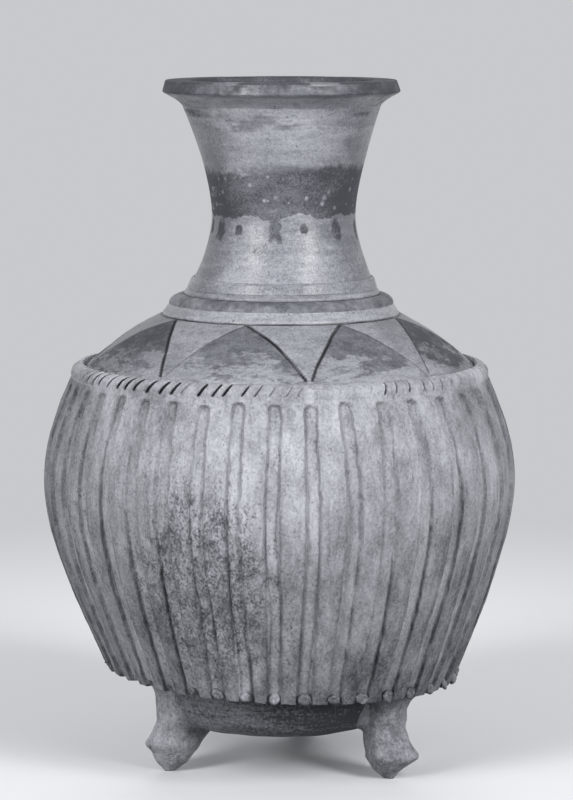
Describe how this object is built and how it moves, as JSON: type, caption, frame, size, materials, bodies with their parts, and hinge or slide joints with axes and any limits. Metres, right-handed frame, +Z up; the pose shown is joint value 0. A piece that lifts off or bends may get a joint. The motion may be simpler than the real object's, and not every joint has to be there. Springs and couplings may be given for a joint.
{
  "type": "tripod jar",
  "caption": "Grey clay jar on three pinched feet, with a fluted belly, notched shoulder cordon, flared neck and flat-topped lip, for holding liquid or grain.",
  "frame": {"origin": "on the floor, under the middle of the belly; the tips of the three feet are at z = 0", "axes": "+Z up along the jar's turning axis; -Y faces the pictured front; +X to the right of it"},
  "size_m": [0.2462, 0.2464, 0.36],
  "materials": {
    "slipped_clay": "matt burnished slip, worn and stained",
    "bare_clay": "matt unburnished clay"
  },
  "bodies": {
    "root": {"base_bowl": "bare_clay", "fluted_wall": "slipped_clay", "shoulder_dome": "slipped_clay", "notched_cordon": "slipped_clay", "neck_collar": "slipped_clay", "neck_tube": "slipped_clay", "lip_ring": "slipped_clay", "base_luting_roll": "bare_clay", "shoulder_luting_roll": "bare_clay", "neck_luting_roll": "bare_clay", "foot_left": "bare_clay", "foot_right": "bare_clay", "foot_back": "bare_clay"}
  },
  "joints": []
}
